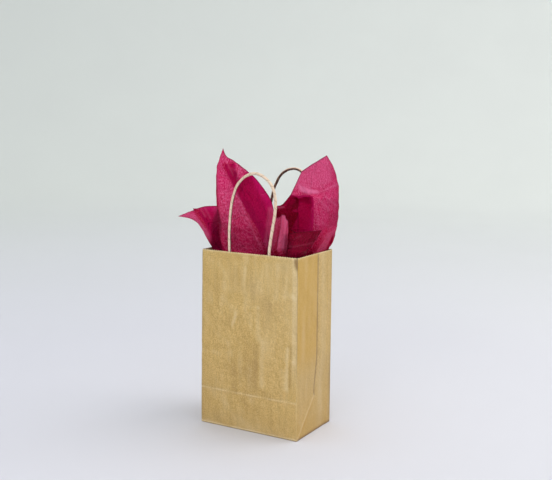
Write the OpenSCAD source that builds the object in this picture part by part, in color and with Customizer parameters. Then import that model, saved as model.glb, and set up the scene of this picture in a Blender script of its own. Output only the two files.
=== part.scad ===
// Paper gift bag with twisted paper handles and two gathered sheets of tissue paper.
// The origin is the centre of the base, +X runs across the front panel, -Y faces the front
// and +Z is up.

/* [Bag] */
// Width of the bag across its front panel
bag_w = 133; // [131:0.5:135]
// Depth of the bag from front panel to rear panel
bag_d = 83; // [81:0.5:85]
// Height of the bag from its base to its rim
bag_h = 213; // [205:1:216]
// Thickness of the kraft paper
paper_t = 0.3; // [0.2:0.05:0.4]
// Thickness of a dried glue film
glue_t = 0.1; // [0.05:0.05:0.15]
// How far each gusset dips inward at its centre crease
gusset_dip = 1.5; // [0.5:0.1:2.5]
// Width of the lap that closes the tube on the right gusset
lap_w = 12; // [8:1:15]

/* [Block bottom] */
// How far the front and rear flaps reach across the base
flap_reach = 51; // [45:1:60]
// How much each end of a flap narrows towards its free edge
flap_taper = 20; // [10:1:30]
// How far the side tucks reach in from each gusset
tuck_reach = 31; // [20:1:38]

/* [Handles] */
// Diameter of the twisted paper cord
cord_d = 3.5; // [3:0.1:4]
// Distance between the two feet of a handle
foot_gap = 54; // [50:1:56]
// Height of the bending line above the rim
hinge_lift = 2.5; // [2.3:0.1:3.5]
// Height of the straight part of the front loop above its bending line
front_straight = 60; // [50:1:62]
// Height of the straight part of the rear loop above its bending line
rear_straight = 65; // [50:1:66]
// Sideways lean of the front loop's crown
front_skew = 3; // [0:0.25:4]
// Sideways lean of the rear loop's crown
rear_skew = 4.5; // [0:0.25:5]
// Lean of the front loop towards the opening at rest, in degrees
front_lean = 4; // [0:0.5:5]
// Lean of the rear loop away from the opening at rest, in degrees
rear_lean = 12; // [2:1:20]
// Radius of the half circle at the crown of the front loop
front_crown_r = 29.5; // [28:0.25:30]
// Radius of the half circle at the crown of the rear loop
rear_crown_r = 27.5; // [26:0.25:30]

/* [Handle patches] */
// Width of the reinforcing strip behind each handle
patch_w = 110; // [90:1:120]
// Height of the reinforcing strip
patch_h = 38; // [30:1:42]
// Distance from the rim down to the strip
patch_drop = 9; // [6:1:14]
// Length of cord held inside the strip
held_leg = 34; // [25:1:36]

/* [Tissue] */
// Height of the point where each sheet is pinched together
pinch_z = 150; // [146:1:154]
// Half thickness of the gathered tissue
leaf_r = 3; // [2:0.5:3]

/* [Hidden] */

half_w = bag_w / 2;
half_d = bag_d / 2;
inner_d = half_d - paper_t;
// Clearance between round cord and the flat paper round it
cord_gap = 0.05;
cord_r = cord_d / 2;
// Swelling of the cord where a straight run bends into the crown
bend_swell = 0.05;
foot_x = foot_gap / 2;
hinge_z = bag_h + hinge_lift;
// The patch stack, measured inward from the inner face of a panel
backing_y = inner_d - glue_t;
cover_y = backing_y - paper_t;
leg_y = cover_y - cord_gap - cord_r;
patch_top = bag_h - patch_drop;
// A held leg stops just under the ball at the foot of its loop
leg_top = hinge_z - cord_r - 0.3;
leg_foot = patch_top - held_leg;
// The block bottom's layers, from the table up
front_flap_z = paper_t + glue_t;
tuck_z = front_flap_z + paper_t + glue_t;
glue_margin = 3;

kraft = [0.78, 0.66, 0.40];
kraft_inside = [0.62, 0.50, 0.32];
glue_tint = [0.85, 0.82, 0.72];
strip_tint = [0.72, 0.62, 0.45];
cord_tint = [0.86, 0.76, 0.64];
tissue_tint = [0.74, 0.05, 0.28];

// Outer face of a gusset at a distance y from its centre crease
function gusset_x(y) = half_w - gusset_dip * (1 - abs(y) / half_d);

// A panel of paper across the bag, at the front for side -1 and at the rear for side 1
module panel(side) {
    y_low = side < 0 ? -half_d : inner_d;
    translate([-half_w, y_low, 0])
        cube([bag_w, paper_t, bag_h]);
}

// A gusset between the two panels, dipping inward to its centre crease
module gusset() {
    linear_extrude(bag_h)
        polygon([
            [gusset_x(inner_d), -inner_d],
            [gusset_x(0), 0],
            [gusset_x(inner_d), inner_d],
            [gusset_x(inner_d) - paper_t, inner_d],
            [gusset_x(0) - paper_t, 0],
            [gusset_x(inner_d) - paper_t, -inner_d]
        ]);
}

// A strip on the outside of the right gusset, from the lap's free edge back to a depth y_end
module gusset_strip(inset, thickness, height, y_end) {
    y_start = half_d - lap_w;
    linear_extrude(height)
        polygon([
            [gusset_x(y_start) + inset, y_start],
            [gusset_x(y_end) + inset, y_end],
            [gusset_x(y_end) + inset + thickness, y_end],
            [gusset_x(y_start) + inset + thickness, y_start]
        ]);
}

module front_panel() {
    color(kraft) panel(-1);
}

module rear_panel() {
    color(kraft) panel(1);
}

module left_gusset() {
    color(kraft) mirror([1, 0, 0]) gusset();
}

module right_gusset() {
    color(kraft) gusset();
}

module side_seam_lap() {
    color(kraft) gusset_strip(glue_t, paper_t, bag_h, half_d);
}

module side_seam_glue() {
    color(glue_tint) gusset_strip(0, glue_t, bag_h - glue_margin, inner_d);
}

// A flap folded across the base from the front, side -1, or the rear, side 1
module bottom_flap(side) {
    flap_w = half_w - gusset_dip - paper_t;
    linear_extrude(paper_t)
        polygon([
            [-flap_w, side * inner_d],
            [flap_w, side * inner_d],
            [flap_w - flap_taper, side * (inner_d - flap_reach)],
            [flap_taper - flap_w, side * (inner_d - flap_reach)]
        ]);
}

// A tuck folded in from the left gusset under the front and rear flaps
module bottom_tuck() {
    tuck_w = half_w - gusset_dip - paper_t;
    linear_extrude(paper_t)
        polygon([
            [-tuck_w, -inner_d],
            [tuck_reach - tuck_w, tuck_reach - inner_d],
            [tuck_reach - tuck_w, inner_d - tuck_reach],
            [-tuck_w, inner_d]
        ]);
}

module bottom_rear_flap() {
    color(kraft) bottom_flap(1);
}

module bottom_front_flap() {
    color(kraft) translate([0, 0, front_flap_z]) bottom_flap(-1);
}

module bottom_left_tuck() {
    color(kraft_inside) translate([0, 0, tuck_z]) bottom_tuck();
}

module bottom_right_tuck() {
    color(kraft_inside) translate([0, 0, tuck_z]) mirror([1, 0, 0]) bottom_tuck();
}

// The film that joins the two flaps where they overlap
module bottom_glue() {
    film_x = half_w - gusset_dip - flap_taper - glue_margin;
    film_y = flap_reach - inner_d - glue_margin;
    color(glue_tint)
        translate([-film_x, -film_y, paper_t])
            cube([2 * film_x, 2 * film_y, glue_t]);
}

// One flat layer of a handle patch, whose outer face is at depth y on the front panel's side
module patch_layer(y, thickness, margin) {
    translate([margin - patch_w / 2, -y, patch_top - patch_h + margin])
        cube([patch_w - 2 * margin, thickness, patch_h - 2 * margin]);
}

// Section of an arch over a leg of the cord, open towards the backing strip
module leg_arch(radius) {
    translate([0, -leg_y]) circle(r = radius, $fn = 48);
    translate([-radius, -cover_y]) square([2 * radius, cover_y - leg_y]);
}

// The inner strip of a patch, raised over the two legs of the cord
module patch_cover() {
    arch_r = cord_r + cord_gap;
    translate([0, 0, patch_top - patch_h])
        linear_extrude(patch_h)
            difference() {
                union() {
                    translate([-patch_w / 2, -cover_y])
                        square([patch_w, paper_t]);
                    for (x = [-foot_x, foot_x])
                        translate([x, 0]) leg_arch(arch_r + paper_t);
                }
                for (x = [-foot_x, foot_x])
                    translate([x, 0]) leg_arch(arch_r);
                translate([-half_w, -half_d]) square([bag_w, half_d - cover_y]);
            }
}

// The two straight ends of a handle's cord, held in the patch and standing up past the rim
module handle_legs() {
    for (x = [-foot_x, foot_x])
        translate([x, -leg_y, leg_foot])
            cylinder(r = cord_r, h = leg_top - leg_foot, $fn = 32);
}

// A round length of cord from one point to another in the plane of the handle
module cord_run(start, end) {
    run = end - start;
    translate([start[0], 0, start[1]])
        rotate([0, atan2(run[0], run[1]), 0])
            cylinder(r = cord_r, h = norm(run), $fn = 32);
}

// The free part of a handle, standing on its bending line, with its crown moved sideways by skew
module handle_loop(skew, crown_r, straight) {
    for (side = [-1, 1]) {
        cord_run([side * foot_x, 0], [side * crown_r + skew, straight]);
        translate([side * foot_x, 0, 0]) sphere(r = cord_r, $fn = 32);
        translate([side * crown_r + skew, 0, straight]) sphere(r = cord_r + bend_swell, $fn = 32);
    }
    translate([skew, 0, straight])
        rotate([90, 0, 0])
            rotate_extrude(angle = 180, $fn = 96)
                translate([crown_r, 0]) circle(r = cord_r, $fn = 32);
}

module front_patch_backing() {
    color(strip_tint) patch_layer(backing_y, paper_t, 0);
}

module front_patch_glue() {
    color(glue_tint) patch_layer(inner_d, glue_t, glue_margin);
}

module front_patch_cover() {
    color(strip_tint) patch_cover();
}

module front_handle_legs() {
    color(cord_tint) handle_legs();
}

module rear_patch_backing() {
    color(strip_tint) mirror([0, 1, 0]) patch_layer(backing_y, paper_t, 0);
}

module rear_patch_glue() {
    color(glue_tint) mirror([0, 1, 0]) patch_layer(inner_d, glue_t, glue_margin);
}

module rear_patch_cover() {
    color(strip_tint) mirror([0, 1, 0]) patch_cover();
}

module rear_handle_legs() {
    color(cord_tint) mirror([0, 1, 0]) handle_legs();
}

module front_handle_loop() {
    color(cord_tint)
        translate([0, -leg_y, hinge_z])
            rotate([-front_lean, 0, 0])
                handle_loop(front_skew, front_crown_r, front_straight);
}

module rear_handle_loop() {
    color(cord_tint)
        translate([0, leg_y, hinge_z])
            rotate([-rear_lean, 0, 0])
                handle_loop(rear_skew, rear_crown_r, rear_straight);
}

// One leaf of gathered tissue: a thin rounded solid round its corner points
module leaf(points, tip) {
    hull() {
        for (p = points)
            translate(p) sphere(r = leaf_r, $fn = 10);
        translate(tip) sphere(r = leaf_r / 2, $fn = 10);
    }
}

// The left sheet: a tall folded corner, a corner that droops over the left rim and the back
module left_tissue_sheet() {
    pinch = [-24, -4, pinch_z];
    color(tissue_tint)
        union() {
            leaf([
                pinch, [-56, -25, 216], [-56, -20, 262], [-57, -20, 300], [-31, -23, 316],
                [0, -24, 291], [16, -24, 262], [13, -24, 216], [-34, -8, 300], [5, -8, 262],
                [10, -8, 216], [-50, -8, 262]
            ], [-50, -20, 326]);
            leaf([
                [-59, -28, 217], [-50, -18, 217], [-52, -20, 261], [-70, -26, 260],
                [-85, -30, 255], [-78, -31, 243], [-68, -29, 229]
            ], [-101, -33, 249]);
            leaf([
                pinch, [-56, 20, 214], [-55, 22, 250], [-20, 26, 260], [0, 28, 238],
                [0, 26, 214], [-50, -2, 258], [-30, 6, 286]
            ], [-46, 26, 284]);
        }
}

// The right sheet: a tall open corner, the pocket and ruffle in front of it and the back
module right_tissue_sheet() {
    pinch = [34, 0, pinch_z];
    color(tissue_tint)
        union() {
            leaf([
                pinch, [61, 24, 215], [73, 26, 250], [79, 25, 268], [80, 25, 290],
                [74, 22, 312], [41, 10, 305], [28, 6, 277], [18, 4, 263], [17, 8, 236],
                [22, -8, 214], [60, -8, 214], [30, -6, 248], [62, -2, 240]
            ], [69, 20, 324]);
            leaf([
                pinch, [40, -26, 216], [59, -33, 216], [61, -16, 216], [66, 4, 236],
                [52, -17, 237], [41, -24, 236], [44, -29, 249], [35, -24, 255],
                [25, -21, 259], [23, -21, 216]
            ], [70, 5, 239]);
            leaf([
                pinch, [11, 28, 214], [56, 30, 214], [50, 32, 262], [14, 28, 258]
            ], [52, 30, 286]);
        }
}

front_panel();
rear_panel();
left_gusset();
right_gusset();
side_seam_lap();
side_seam_glue();
bottom_rear_flap();
bottom_front_flap();
bottom_left_tuck();
bottom_right_tuck();
bottom_glue();
front_patch_backing();
front_patch_glue();
front_patch_cover();
front_handle_legs();
rear_patch_backing();
rear_patch_glue();
rear_patch_cover();
rear_handle_legs();
front_handle_loop();
rear_handle_loop();
left_tissue_sheet();
right_tissue_sheet();
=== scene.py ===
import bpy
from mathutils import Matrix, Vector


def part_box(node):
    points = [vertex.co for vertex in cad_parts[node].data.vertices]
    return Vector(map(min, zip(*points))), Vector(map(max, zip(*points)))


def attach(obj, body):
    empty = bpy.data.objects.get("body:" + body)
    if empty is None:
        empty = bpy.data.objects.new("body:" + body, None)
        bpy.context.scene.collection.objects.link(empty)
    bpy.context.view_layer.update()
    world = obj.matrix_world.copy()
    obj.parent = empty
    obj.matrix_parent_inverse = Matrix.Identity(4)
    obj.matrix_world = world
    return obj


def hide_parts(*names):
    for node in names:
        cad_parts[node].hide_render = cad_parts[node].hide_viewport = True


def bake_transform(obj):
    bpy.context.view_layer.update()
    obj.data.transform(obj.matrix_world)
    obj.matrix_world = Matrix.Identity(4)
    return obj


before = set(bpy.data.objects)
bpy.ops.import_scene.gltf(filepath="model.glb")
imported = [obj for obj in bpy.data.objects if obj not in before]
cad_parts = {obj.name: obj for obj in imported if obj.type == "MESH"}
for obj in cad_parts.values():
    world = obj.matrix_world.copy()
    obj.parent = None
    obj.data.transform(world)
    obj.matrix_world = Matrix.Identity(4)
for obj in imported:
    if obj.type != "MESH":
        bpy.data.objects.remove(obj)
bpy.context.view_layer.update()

import math

import bpy
import numpy as np
from mathutils import Matrix, Vector, noise

# Every size below is in millimetres and is turned into metres where a mesh is made.
MM = 0.001


def mm_box(node):
    """Lowest and highest corners of a CAD node, in millimetres."""
    low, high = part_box(node)
    return np.array(low) / MM, np.array(high) / MM


FRONT_LOW, FRONT_HIGH = mm_box("front_panel")
REAR_LOW, REAR_HIGH = mm_box("rear_panel")
HALF_W = FRONT_HIGH[0]
HALF_D = REAR_HIGH[1]
BAG_H = FRONT_HIGH[2]
PAPER_T = REAR_HIGH[1] - REAR_LOW[1]
GUSSET_DIP = HALF_W - PAPER_T - mm_box("right_gusset")[0][0]
PATCH_LOW, PATCH_HIGH = mm_box("front_patch_backing")
LAP_LOW, LAP_HIGH = mm_box("side_seam_lap")
LEGS_LOW, LEGS_HIGH = mm_box("front_handle_legs")
CORD_R = (LEGS_HIGH[1] - LEGS_LOW[1]) / 2
FOOT_X = LEGS_HIGH[0] - CORD_R
LEG_Y = -(LEGS_HIGH[1] + LEGS_LOW[1]) / 2


# ---------------------------------------------------------------- camera and studio

def camera():
    """The camera stands in front and to the right, a little above the rim."""
    turn, pitch, roll = math.radians(30.41), math.radians(8.13), math.radians(0.39)
    back = Vector((math.sin(turn) * math.cos(pitch), -math.cos(turn) * math.cos(pitch), math.sin(pitch)))
    right = Vector((math.cos(turn), math.sin(turn), 0))
    up = back.cross(right)
    tilted_right = math.cos(roll) * right + math.sin(roll) * up
    tilted_up = math.cos(roll) * up - math.sin(roll) * right
    data = bpy.data.cameras.new("camera")
    data.sensor_width = 36
    data.lens = 58.14
    data.clip_start = 0.02
    data.clip_end = 50
    made = bpy.data.objects.new("camera", data)
    bpy.context.collection.objects.link(made)
    axes = Matrix((tilted_right, tilted_up, back)).transposed()
    made.matrix_world = Matrix.Translation((0.5405, -0.8988, 0.3737)) @ axes.to_4x4()
    bpy.context.scene.camera = made


def area_light(name, place, target, size, power, colour):
    data = bpy.data.lights.new(name, "AREA")
    data.shape = "DISK"
    data.size = size
    data.energy = power
    data.color = colour
    made = bpy.data.objects.new(name, data)
    bpy.context.collection.objects.link(made)
    made.location = place
    made.rotation_euler = (Vector(target) - Vector(place)).to_track_quat("-Z", "Y").to_euler()


# ---------------------------------------------------------------- materials

class Shader:
    """A procedural material, built node by node."""

    def __init__(self, name):
        self.material = bpy.data.materials.new(name)
        self.material.use_nodes = True
        self.tree = self.material.node_tree
        self.tree.nodes.clear()

    def put(self, kind, sockets=(), **settings):
        node = self.tree.nodes.new("ShaderNode" + kind)
        for key, value in settings.items():
            setattr(node, key, value)
        for key, value in dict(sockets).items():
            if isinstance(value, bpy.types.NodeSocket):
                self.tree.links.new(value, node.inputs[key])
            else:
                node.inputs[key].default_value = value
        return node

    def place(self):
        """Position on the piece, in metres, in the row frame."""
        return self.put("TexCoord").outputs["Object"]

    def stretched(self, vector, factors):
        return self.put("Mapping", {"Vector": vector, "Scale": factors}).outputs["Vector"]

    def noise(self, vector, scale, detail=4.0, rough=0.55):
        sockets = {"Vector": vector, "Scale": scale, "Detail": detail, "Roughness": rough}
        return self.put("TexNoise", sockets).outputs["Fac"]

    def cells(self, vector, scale, feature="F1"):
        sockets = {"Vector": vector, "Scale": scale}
        return self.put("TexVoronoi", sockets, feature=feature).outputs["Distance"]

    def value(self, name):
        return self.put("Attribute", attribute_name=name).outputs["Fac"]

    def vector(self, name):
        return self.put("Attribute", attribute_name=name).outputs["Vector"]

    def sum(self, operation, first, second):
        return self.put("Math", {0: first, 1: second}, operation=operation).outputs[0]

    def spread(self, factor, low, high, to_low=0.0, to_high=1.0):
        """Maps a factor from one range to another, and stops at its ends."""
        sockets = {"Value": factor, "From Min": low, "From Max": high, "To Min": to_low, "To Max": to_high}
        return self.put("MapRange", sockets).outputs["Result"]

    def mix(self, factor, first, second, how="MIX"):
        node = self.put("Mix", {0: factor}, data_type="RGBA", blend_type=how)
        for socket, colour in ((node.inputs[6], first), (node.inputs[7], second)):
            if isinstance(colour, bpy.types.NodeSocket):
                self.tree.links.new(colour, socket)
            else:
                socket.default_value = (*colour, 1)
        return node.outputs[2]

    def bump(self, height, distance, strength=1.0, normal=None):
        sockets = {"Height": height, "Distance": distance, "Strength": strength}
        if normal is not None:
            sockets["Normal"] = normal
        return self.put("Bump", sockets).outputs["Normal"]

    def finish(self, shader):
        out = self.put("OutputMaterial")
        self.tree.links.new(shader, out.inputs["Surface"])
        return self.material


def stage_material():
    """Pale, a little darker round the bag and to the camera's left: painted shade round the bag and a painted fall-off
    of light to the left.
    """
    s = Shader("stage")
    place = s.place()
    axes = s.put("SeparateXYZ", {"Vector": place})
    rightward = s.sum("ADD", s.sum("MULTIPLY", axes.outputs["X"], 0.86), s.sum("MULTIPLY", axes.outputs["Y"], 0.5))
    distance = s.put("VectorMath", {0: place}, operation="LENGTH").outputs["Value"]
    mottle = s.noise(place, 3.0, 2.0)
    # Painted fall-off of light, darker to the camera's left, and painted shade, darker near the bag
    far = s.mix(s.spread(rightward, -1.5, 1.5), (0.68, 0.70, 0.695), (0.88, 0.89, 0.88))
    near = s.mix(s.spread(rightward, -0.5, 0.5), (0.640, 0.635, 0.715), (0.655, 0.648, 0.710))
    colour = s.mix(s.spread(distance, 0.5, 2.6), near, far)
    colour = s.mix(s.spread(mottle, 0.3, 0.7, 0, 0.06), colour, (0.55, 0.55, 0.58))
    return s.finish(s.put("BsdfPrincipled", {"Base Color": colour, "Roughness": 0.85}).outputs[0])


def gold_kraft():
    """Kraft paper with a metallic gold print on its outer face."""
    s = Shader("gold_kraft")
    place = s.place()
    fibres = s.noise(s.stretched(place, (1, 1, 0.12)), 420, 5.0, 0.65)
    grain = s.noise(place, 720, 3.5, 0.78)
    fleck = s.noise(place, 1300, 3.0, 0.7)
    blotch = s.noise(place, 120, 5.0, 0.6)
    cloud = s.noise(s.stretched(place, (1, 1, 0.6)), 22, 3.0, 0.5)
    streaks = s.noise(s.stretched(place, (1, 1, 0.07)), 210, 3.0, 0.5)
    gold = s.mix(s.spread(blotch, 0.32, 0.68), (0.60, 0.385, 0.122), (0.70, 0.475, 0.172))
    gold = s.mix(s.spread(cloud, 0.3, 0.7, 0, 0.5), gold, (0.74, 0.515, 0.205))
    gold = s.mix(s.spread(grain, 0.52, 0.38, 0, 0.58), gold, (0.38, 0.240, 0.085))
    gold = s.mix(s.spread(grain, 0.52, 0.64, 0, 0.50), gold, (0.88, 0.67, 0.34))
    gold = s.mix(s.spread(fibres, 0.54, 0.34, 0, 0.3), gold, (0.40, 0.265, 0.095))
    gold = s.mix(s.sum("MULTIPLY", s.value("print_through"), s.spread(streaks, 0.42, 0.66, 0, 0.30)),
                 gold, (0.76, 0.58, 0.31))
    # Painted shade in a darker amber, and an even amber tint
    gold = s.mix(s.value("amber_and_shade"), gold, s.mix(grain, (0.57, 0.325, 0.055), (0.68, 0.420, 0.098)))
    # Painted highlights and reflections, in a paler gold
    gold = s.mix(s.value("paler_and_highlight"), gold, s.mix(grain, (0.66, 0.50, 0.26), (0.84, 0.68, 0.42)))
    # Painted shade, in dark brown
    gold = s.mix(s.value("dark"), gold, (0.25, 0.135, 0.045))
    # Wear, and painted highlights along folds, in a pale gold
    gold = s.mix(s.sum("MULTIPLY", s.value("wear_and_highlight"), s.spread(grain, 0.35, 0.6, 0.55, 1.0)),
                 gold, (0.86, 0.70, 0.44))
    rough = s.spread(s.sum("ADD", blotch, fleck), 0.6, 1.4, 0.33, 0.52)
    height = s.sum("ADD", s.sum("MULTIPLY", blotch, 1.0), s.sum("MULTIPLY", grain, 0.45))
    height = s.sum("ADD", height, s.sum("MULTIPLY", fibres, 0.4))
    height = s.sum("ADD", height, s.sum("MULTIPLY", s.sum("MULTIPLY", s.value("print_through"), streaks), 0.5))
    sockets = {
        "Base Color": gold,
        "Metallic": 0.4,
        "Roughness": rough,
        "Normal": s.bump(height, 0.0004, 0.8),
    }
    return s.finish(s.put("BsdfPrincipled", sockets).outputs[0])


def bare_kraft(name, light, dark):
    """The unprinted side of the paper, or a strip of plain paper."""
    s = Shader(name)
    place = s.place()
    fibres = s.noise(s.stretched(place, (1, 1, 0.3)), 700, 6.0, 0.7)
    blotch = s.noise(place, 60, 4.0)
    colour = s.mix(s.spread(fibres, 0.3, 0.7), dark, light)
    colour = s.mix(s.spread(blotch, 0.3, 0.7, 0, 0.35), colour, light)
    sockets = {
        "Base Color": colour,
        "Roughness": s.spread(fibres, 0.3, 0.7, 0.7, 0.9),
        "Normal": s.bump(fibres, 0.0002, 0.6),
    }
    return s.finish(s.put("BsdfPrincipled", sockets).outputs[0])


def gold_flap():
    """The gold face of the bottom flaps, rubbed by the table."""
    s = Shader("gold_flap")
    place = s.place()
    grain = s.noise(place, 520, 4.0, 0.75)
    blotch = s.noise(place, 110, 5.0, 0.6)
    rubs = s.noise(s.stretched(place, (0.25, 1, 1)), 160, 5.0, 0.7)
    gold = s.mix(s.spread(blotch, 0.3, 0.7), (0.50, 0.335, 0.125), (0.61, 0.44, 0.185))
    gold = s.mix(s.spread(grain, 0.52, 0.36, 0, 0.4), gold, (0.36, 0.235, 0.085))
    gold = s.mix(s.spread(rubs, 0.55, 0.7, 0, 0.5), gold, (0.74, 0.60, 0.38))
    sockets = {
        "Base Color": gold,
        "Metallic": 0.35,
        "Roughness": s.spread(rubs, 0.3, 0.7, 0.4, 0.65),
        "Normal": s.bump(s.sum("ADD", blotch, grain), 0.0004, 0.7),
    }
    return s.finish(s.put("BsdfPrincipled", sockets).outputs[0])


def dried_glue():
    s = Shader("dried_glue")
    place = s.place()
    runs = s.noise(place, 220, 5.0)
    sockets = {
        "Base Color": s.mix(runs, (0.62, 0.58, 0.46), (0.86, 0.83, 0.74)),
        "Roughness": s.spread(runs, 0.3, 0.7, 0.25, 0.5),
        "Normal": s.bump(runs, 0.0003, 0.5),
    }
    return s.finish(s.put("BsdfPrincipled", sockets).outputs[0])


def paper_cord():
    """Paper twisted into a cord: pale outside, with painted shade in brown on the side that faces the opening and the
    middle of the loop.
    """
    s = Shader("paper_cord")
    place = s.place()
    fibres = s.noise(place, 1800, 5.0, 0.65)
    patches = s.noise(place, 90, 3.0)
    colour = s.mix(s.spread(fibres, 0.3, 0.7), (0.66, 0.48, 0.35), (0.81, 0.63, 0.49))
    colour = s.mix(s.spread(patches, 0.35, 0.65, 0, 0.4), colour, (0.84, 0.69, 0.57))
    # Painted shade on the underside and the inner side of the loop
    brown = s.mix(s.spread(fibres, 0.3, 0.7), (0.035, 0.011, 0.009), (0.10, 0.038, 0.027))
    colour = s.mix(s.value("shaded_side"), colour, brown)
    colour = s.mix(s.value("seam"), colour, (0.34, 0.21, 0.12))
    sockets = {
        "Base Color": colour,
        "Roughness": s.spread(fibres, 0.3, 0.7, 0.55, 0.8),
        "Normal": s.bump(fibres, 0.00012, 0.7),
    }
    return s.finish(s.put("BsdfPrincipled", sockets).outputs[0])


def tissue_paper():
    """
    Thin crimson tissue. Light that comes through one layer is pink, through a doubled part it is
    crimson, and through a part that is several layers thick it is a deep wine red. The doubled and thick tones are also
    laid under the lip, in the hollow and on the pocket as painted shade.
    """
    s = Shader("tissue_paper")
    flat = s.vector("flat")
    creases = s.cells(flat, 38, "DISTANCE_TO_EDGE")
    crinkle = s.cells(s.stretched(flat, (1, 0.6, 1)), 130, "DISTANCE_TO_EDGE")
    speckle = s.noise(flat, 420, 3.0, 0.7)
    cloud = s.noise(flat, 45, 4.0)
    doubled_and_shade = s.spread(s.value("doubled_and_shade"), 0.46, 0.54)
    plies_and_shade = s.spread(s.value("plies_and_shade"), 0.42, 0.58)
    line = s.spread(creases, 0.0, 0.03, 0.16, 0.0)
    deep = s.mix(s.spread(cloud, 0.3, 0.7), (0.36, 0.002, 0.052), (0.48, 0.005, 0.085))
    deep = s.mix(s.spread(speckle, 0.52, 0.66, 0, 0.6), deep, (0.62, 0.08, 0.20))
    deep = s.mix(doubled_and_shade, deep, (0.62, 0.002, 0.12))
    glow = s.mix(s.spread(speckle, 0.45, 0.57), (0.70, 0.008, 0.10), (1.0, 0.16, 0.39))
    glow = s.mix(s.spread(cloud, 0.35, 0.75, 0, 0.35), glow, (0.74, 0.05, 0.21))
    glow = s.mix(doubled_and_shade, glow, s.mix(s.spread(speckle, 0.4, 0.65), (0.46, 0.001, 0.085), (0.66, 0.02, 0.17)))
    # Painted highlight: the glow is lighter along the crease lines
    glow = s.mix(line, glow, (0.98, 0.22, 0.42))
    wine = s.mix(s.spread(speckle, 0.4, 0.65), (0.27, 0.0, 0.020), (0.47, 0.002, 0.065))
    # Painted highlights: the pale parts are painted a light pink
    deep = s.mix(s.value("pale"), s.mix(plies_and_shade, deep, wine), (0.90, 0.19, 0.38))
    glow = s.mix(s.value("pale"), s.mix(plies_and_shade, glow, wine), (0.96, 0.24, 0.50))
    # Painted shade: dark lines along the cut edges and the marked folds, and the shade parts
    painted_shade = s.spread(s.value("edge"), 0.0, 1.0, 0.0, 0.85)
    deep = s.mix(painted_shade, deep, (0.10, 0.002, 0.02))
    glow = s.mix(painted_shade, glow, (0.20, 0.002, 0.03))
    height = s.sum("ADD", s.spread(creases, 0, 0.05), s.sum("MULTIPLY", s.spread(crinkle, 0, 0.1), 0.4))
    height = s.sum("ADD", height, s.sum("MULTIPLY", speckle, 0.3))
    normal = s.bump(height, 0.0008, 0.85)
    face = s.put("BsdfPrincipled", {
        "Base Color": deep,
        "Roughness": s.spread(speckle, 0.3, 0.7, 0.42, 0.6),
        "Specular IOR Level": 0.10,
        "Normal": normal,
    }).outputs[0]
    through = s.put("BsdfTranslucent", {"Color": glow, "Normal": normal}).outputs[0]
    passing = s.spread(s.value("pale"), 0, 1, 0.62, 0.45)
    return s.finish(s.put("MixShader", {0: passing, 1: face, 2: through}).outputs[0])


# ---------------------------------------------------------------- mesh tools

def mesh_piece(name, points, faces, materials, slots=None):
    """A smooth-shaded mesh object from points in millimetres."""
    mesh = bpy.data.meshes.new(name)
    mesh.from_pydata((np.asarray(points) * MM).tolist(), [], faces)
    for material in materials:
        mesh.materials.append(material)
    mesh.polygons.foreach_set("use_smooth", [True] * len(mesh.polygons))
    if slots is not None:
        mesh.polygons.foreach_set("material_index", slots)
    mesh.update()
    made = bpy.data.objects.new(name, mesh)
    bpy.context.collection.objects.link(made)
    return made


def set_values(piece, name, values):
    """Stores one number for each point of a piece, for its material to read."""
    made = piece.data.attributes.new(name, "FLOAT", "POINT")
    made.data.foreach_set("value", np.clip(np.asarray(values, float).ravel(), 0, 1))


def strip_faces(rows, columns, closed, start=0, flip=False):
    """Quads of a grid of points, row by row, joined up across its last column if closed."""
    faces = []
    for row in range(rows - 1):
        for column in range(columns if closed else columns - 1):
            a = start + row * columns + column
            b = start + row * columns + (column + 1) % columns
            quad = (a, b, b + columns, a + columns)
            faces.append(quad[::-1] if flip else quad)
    return faces


def bell(distance, width):
    """1 on a line and close to 0 a few widths from it."""
    return np.exp(-(np.asarray(distance, float) / width) ** 2)


def smooth_step(value, low, high):
    t = np.clip((np.asarray(value, float) - low) / (high - low), 0, 1)
    return t * t * (3 - 2 * t)


def soft_noise(points, size, seed):
    """Smooth noise from about -1 to 1 at each point, with hills of the given size."""
    shift = Vector((seed * 17.3, seed * 5.1, seed * 11.7))
    return np.array([noise.noise(Vector(p) / size + shift) for p in points]) * 1.6


def spline(points, count):
    """A smooth curve through points, as count points that are evenly spaced by chord length."""
    points = np.asarray(points, float)
    ends = np.vstack([2 * points[0] - points[1], points, 2 * points[-1] - points[-2]])
    chord = np.concatenate([[0], np.cumsum(np.linalg.norm(np.diff(points, axis=0), axis=1))])
    made = []
    for place in np.linspace(0, chord[-1], count):
        i = min(int(np.searchsorted(chord, place, side="right")) - 1, len(points) - 2)
        t = (place - chord[i]) / (chord[i + 1] - chord[i])
        p0, p1, p2, p3 = ends[i:i + 4]
        made.append(0.5 * (2 * p1 + (p2 - p0) * t + (2 * p0 - 5 * p1 + 4 * p2 - p3) * t ** 2
                           + (3 * p1 - p0 - 3 * p2 + p3) * t ** 3))
    return np.array(made)


# ---------------------------------------------------------------- the bag

CREASE_Z = 45.0    # height of the crease where the bottom folds flat
STEP = 1.6         # spacing of the shell's rows and columns
TOOTH = 0.45       # half height of the rim's pinked teeth
LIP = 3.0          # width of the fold at the foot of the shell, under the bottom flaps

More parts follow.
